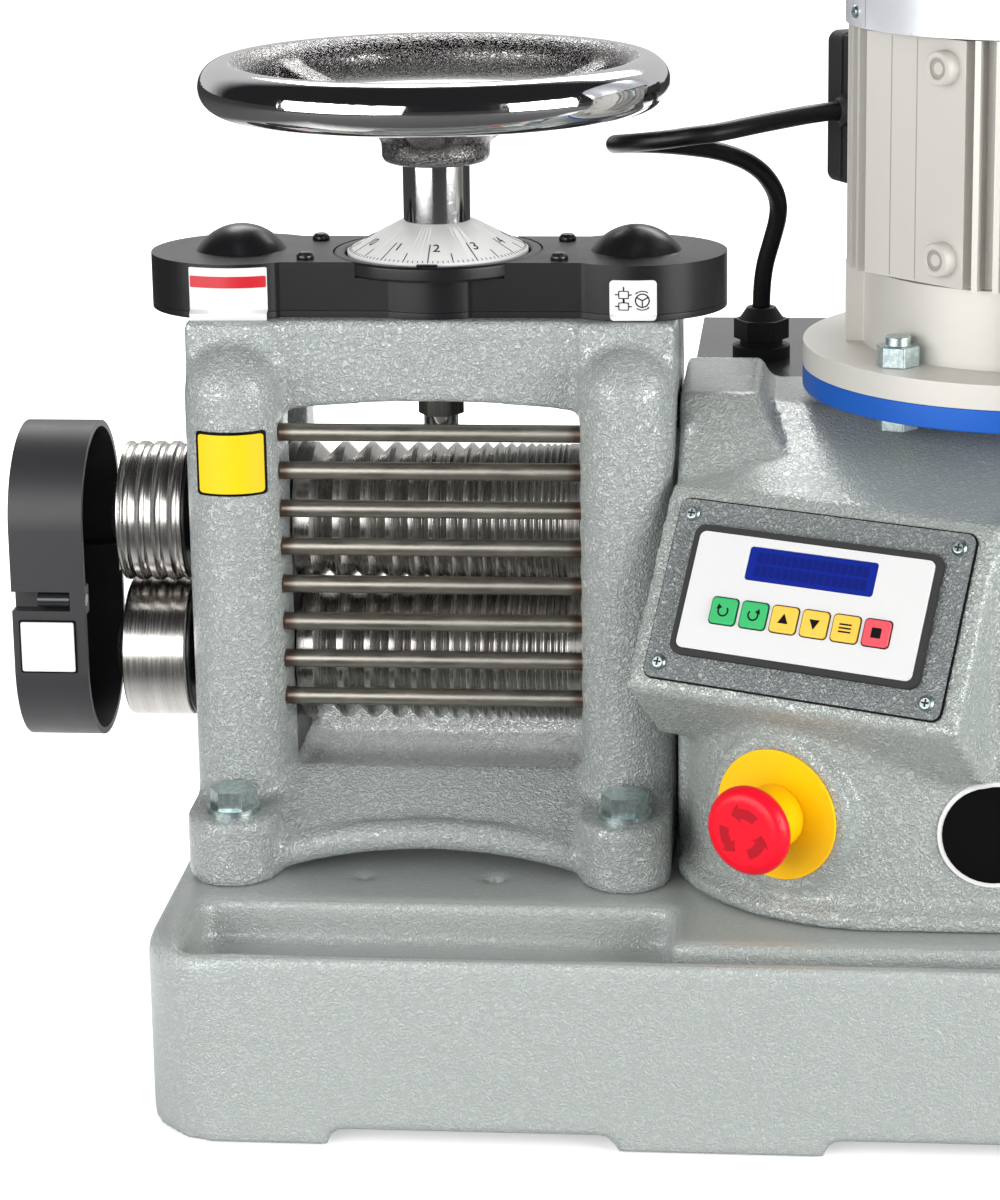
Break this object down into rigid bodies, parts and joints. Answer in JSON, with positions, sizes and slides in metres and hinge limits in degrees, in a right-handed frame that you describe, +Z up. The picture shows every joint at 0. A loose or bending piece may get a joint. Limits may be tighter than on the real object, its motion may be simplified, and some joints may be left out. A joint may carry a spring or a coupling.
{
  "type": "wire rolling mill",
  "caption": "Motor driven bench wire rolling mill with grooved rolls, geared handwheel screw-down, side rolls, drive housing and control console on a cast base.",
  "frame": {"origin": "centre of the bench bolt pattern on the bench plane", "axes": "+X along the rolls to the right, +Y to the back, +Z up"},
  "size_m": [0.6295, 0.39, 0.539],
  "materials": {
    "grey_iron": "hammered enamel",
    "steel": "ground",
    "chrome": "polished",
    "bronze": "turned",
    "black_steel": "satin black",
    "blue_enamel": "gloss blue",
    "silver_enamel": "satin silver",
    "black_plastic": "matt black",
    "white_plastic": "satin white",
    "yellow_plastic": "gloss yellow",
    "red_plastic": "gloss red",
    "green_key": "gloss green",
    "amber_key": "gloss amber",
    "cable_rubber": "matt black"
  },
  "bodies": {
    "machine": {"base_casting": "grey_iron", "mill_frame": "grey_iron", "frame_bolts": "steel", "guard_rods": "steel", "lower_blocks": "steel", "spindle_nuts": "bronze", "gear_plate": "black_steel", "gear_cover": "black_steel", "cover_screws": "black_steel", "dial_bezel": "black_steel", "drive_housing": "grey_iron", "panel_plate": "grey_iron", "panel_screws": "steel", "keypad_bezel": "black_plastic", "keypad_face": "white_plastic", "estop_plate": "yellow_plastic", "estop_collar": "yellow_plastic", "gearbox_case": "blue_enamel", "motor_flange": "silver_enamel", "flange_bolts": "steel", "motor_body": "silver_enamel", "tie_rods": "steel", "fan_cowl": "silver_enamel", "terminal_box": "black_plastic", "cable_glands": "black_plastic", "electrics_box": "black_steel", "electrics_cover": "black_steel", "motor_cable": "cable_rubber"},
    "handwheel": {"handwheel": "chrome", "handwheel_shaft": "chrome", "dial": "white_plastic", "centre_gear": "steel", "pivot_nut": "steel"},
    "idler_left": {"idler_left": "steel"},
    "idler_right": {"idler_right": "steel"},
    "roll_carriage": {"upper_blocks": "steel"},
    "spindle_left": {"spindle_left": "steel"},
    "spindle_right": {"spindle_right": "steel"},
    "upper_roll": {"upper_roll": "steel", "upper_side_roll": "steel", "upper_side_cap": "steel", "upper_collar": "black_steel", "upper_roll_gear": "steel"},
    "lower_roll": {"lower_roll": "steel", "lower_side_roll": "steel", "lower_side_cap": "steel", "lower_collar": "black_steel", "lower_roll_gear": "steel"},
    "rotor": {"motor_rotor": "steel", "cooling_fan": "black_plastic"},
    "estop_stem": {"estop_stem": "steel"},
    "estop_button": {"estop_button": "red_plastic"},
    "side_guard": {"side_guard": "black_steel", "guard_screws": "black_steel"},
    "key_forward": {"key_forward": "green_key"},
    "key_reverse": {"key_reverse": "green_key"},
    "key_up": {"key_up": "amber_key"},
    "key_down": {"key_down": "amber_key"},
    "key_mode": {"key_mode": "amber_key"},
    "key_stop": {"key_stop": "red_plastic"}
  },
  "joints": [
    {"name": "handwheel_turn", "type": "hinge", "parent": "machine", "child": "handwheel", "pos_m": [-0.16, -0.017, 0.433], "axis": [0, 0, 1], "range_deg": [-36, 684]},
    {"name": "idler_left_turn", "type": "hinge", "parent": "machine", "child": "idler_left", "pos_m": [-0.205, -0.017, 0.343], "axis": [0, 0, 1], "range_deg": [-1370, 74]},
    {"name": "idler_right_turn", "type": "hinge", "parent": "machine", "child": "idler_right", "pos_m": [-0.115, -0.017, 0.343], "axis": [0, 0, 1], "range_deg": [-1370, 74]},
    {"name": "carriage_slide", "type": "slide", "parent": "machine", "child": "roll_carriage", "axis": [0, 0, 1], "range_m": [-0.00031, 0.00572]},
    {"name": "spindle_left_turn", "type": "hinge", "parent": "roll_carriage", "child": "spindle_left", "pos_m": [-0.25, -0.017, 0.3], "axis": [0, 0, 1], "range_deg": [-37, 685]},
    {"name": "spindle_right_turn", "type": "hinge", "parent": "roll_carriage", "child": "spindle_right", "pos_m": [-0.07, -0.017, 0.3], "axis": [0, 0, 1], "range_deg": [-37, 685]},
    {"name": "rotor_spin", "type": "hinge", "parent": "machine", "child": "rotor", "pos_m": [0.105, -0.017, 0.4], "axis": [0, 0, 1], "continuous": true},
    {"name": "lower_roll_spin", "type": "hinge", "parent": "machine", "child": "lower_roll", "pos_m": [-0.16, -0.017, 0.168], "axis": [1, 0, 0], "continuous": true},
    {"name": "upper_roll_spin", "type": "hinge", "parent": "roll_carriage", "child": "upper_roll", "pos_m": [-0.16, -0.017, 0.2334], "axis": [1, 0, 0], "continuous": true},
    {"name": "estop_push", "type": "slide", "parent": "machine", "child": "estop_stem", "axis": [0.4848, 0.8746, 0], "range_m": [0, 0.004]},
    {"name": "estop_twist", "type": "hinge", "parent": "estop_stem", "child": "estop_button", "pos_m": [-0.00366, -0.14097, 0.134], "axis": [0.4848, 0.8746, 0], "range_deg": [0, 30], "stiffness_Nm_per_rad": 0.1},
    {"name": "guard_slide", "type": "slide", "parent": "machine", "child": "side_guard", "axis": [1, 0, 0], "range_m": [0, 0.038]},
    {"name": "key_forward_press", "type": "slide", "parent": "machine", "child": "key_forward", "axis": [0.3696, 0.7927, -0.4848], "range_m": [0, 0.0006], "stiffness_N_per_m": 600},
    {"name": "key_reverse_press", "type": "slide", "parent": "machine", "child": "key_reverse", "axis": [0.3696, 0.7927, -0.4848], "range_m": [0, 0.0006], "stiffness_N_per_m": 600},
    {"name": "key_up_press", "type": "slide", "parent": "machine", "child": "key_up", "axis": [0.3696, 0.7927, -0.4848], "range_m": [0, 0.0006], "stiffness_N_per_m": 600},
    {"name": "key_down_press", "type": "slide", "parent": "machine", "child": "key_down", "axis": [0.3696, 0.7927, -0.4848], "range_m": [0, 0.0006], "stiffness_N_per_m": 600},
    {"name": "key_mode_press", "type": "slide", "parent": "machine", "child": "key_mode", "axis": [0.3696, 0.7927, -0.4848], "range_m": [0, 0.0006], "stiffness_N_per_m": 600},
    {"name": "key_stop_press", "type": "slide", "parent": "machine", "child": "key_stop", "axis": [0.3696, 0.7927, -0.4848], "range_m": [0, 0.0006], "stiffness_N_per_m": 600}
  ],
  "couplings": [
    {"joint": "idler_left_turn", "follows": "handwheel_turn", "ratio": -2},
    {"joint": "idler_right_turn", "follows": "handwheel_turn", "ratio": -2},
    {"joint": "carriage_slide", "follows": "handwheel_turn", "m_per_rad": 0.00047746},
    {"joint": "spindle_left_turn", "follows": "handwheel_turn", "ratio": 1},
    {"joint": "spindle_right_turn", "follows": "handwheel_turn", "ratio": 1},
    {"joint": "lower_roll_spin", "follows": "rotor_spin", "ratio": 0.025},
    {"joint": "upper_roll_spin", "follows": "rotor_spin", "ratio": -0.025}
  ]
}
